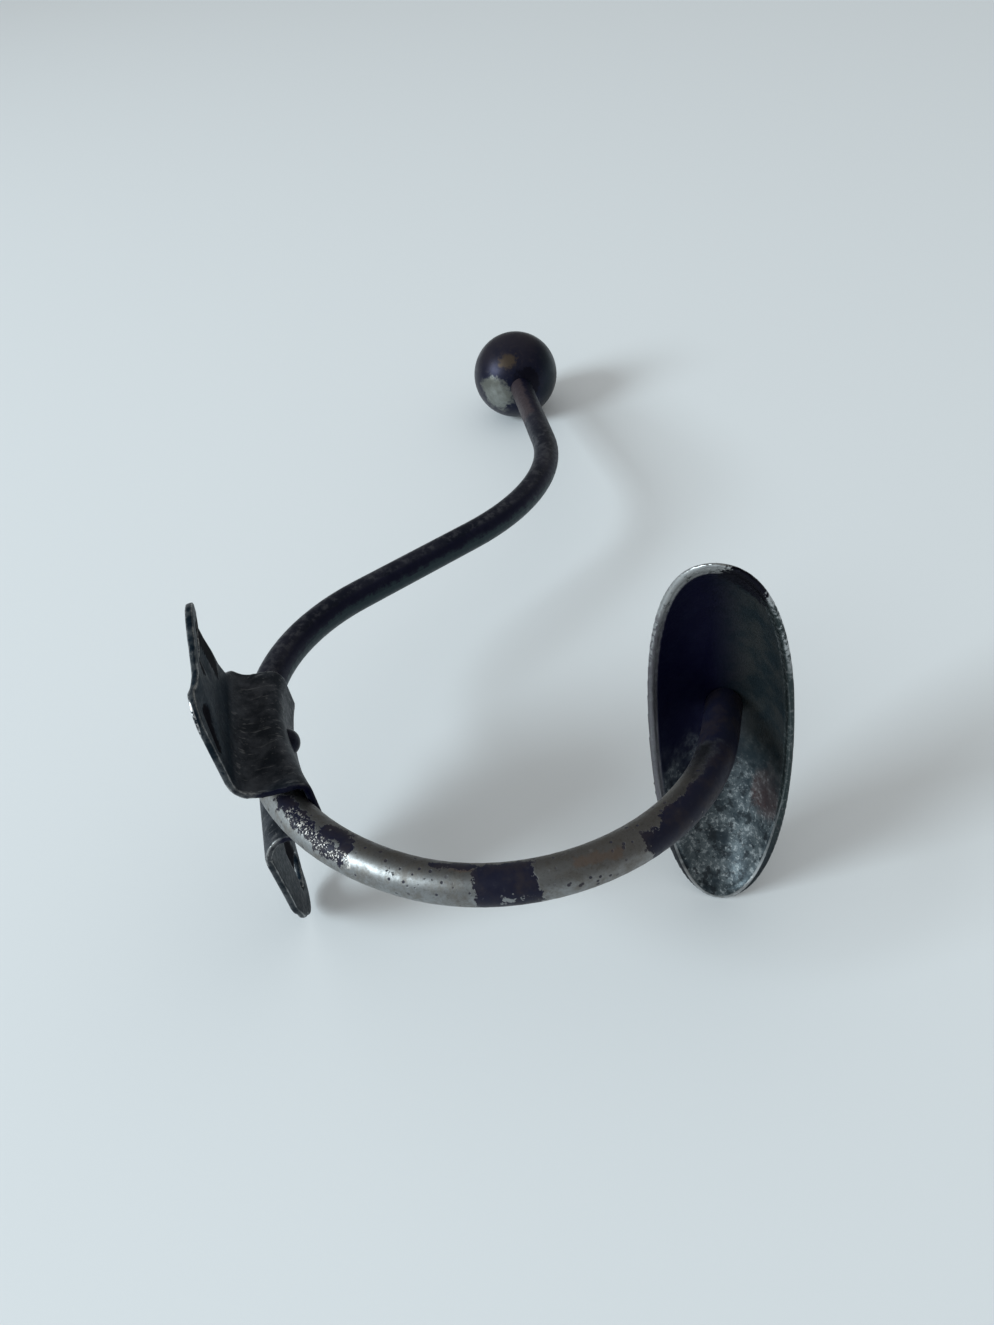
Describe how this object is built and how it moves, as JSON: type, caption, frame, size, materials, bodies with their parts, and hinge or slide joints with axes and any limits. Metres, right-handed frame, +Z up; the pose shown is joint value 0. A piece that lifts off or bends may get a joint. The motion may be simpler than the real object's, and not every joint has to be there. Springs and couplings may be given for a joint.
{
  "type": "coat hook",
  "caption": "Hat-and-coat hook: a bent round steel rod with a ball above and an oval cap below, riveted into a pressed screw-on wall bracket.",
  "frame": {"origin": "on the wall face, midway between the two screw holes in the bracket's ears", "axes": "+Z up as the hook hangs, -Y out from the wall, +X to the right as seen from the room"},
  "size_m": [0.0663, 0.0929, 0.1875],
  "materials": {
    "rod": "nickel worn through to dark rust-spotted steel",
    "ball": "dark tarnished steel with rust marks",
    "cap": "dark mottled steel with a worn bright rim",
    "wall_bracket": "dark grey-brown pitted sheet steel",
    "rivet": "dark tarnished steel"
  },
  "bodies": {
    "root": {"rod": "rod", "ball": "ball", "cap": "cap", "wall_bracket": "wall_bracket", "rivet": "rivet"}
  },
  "joints": []
}
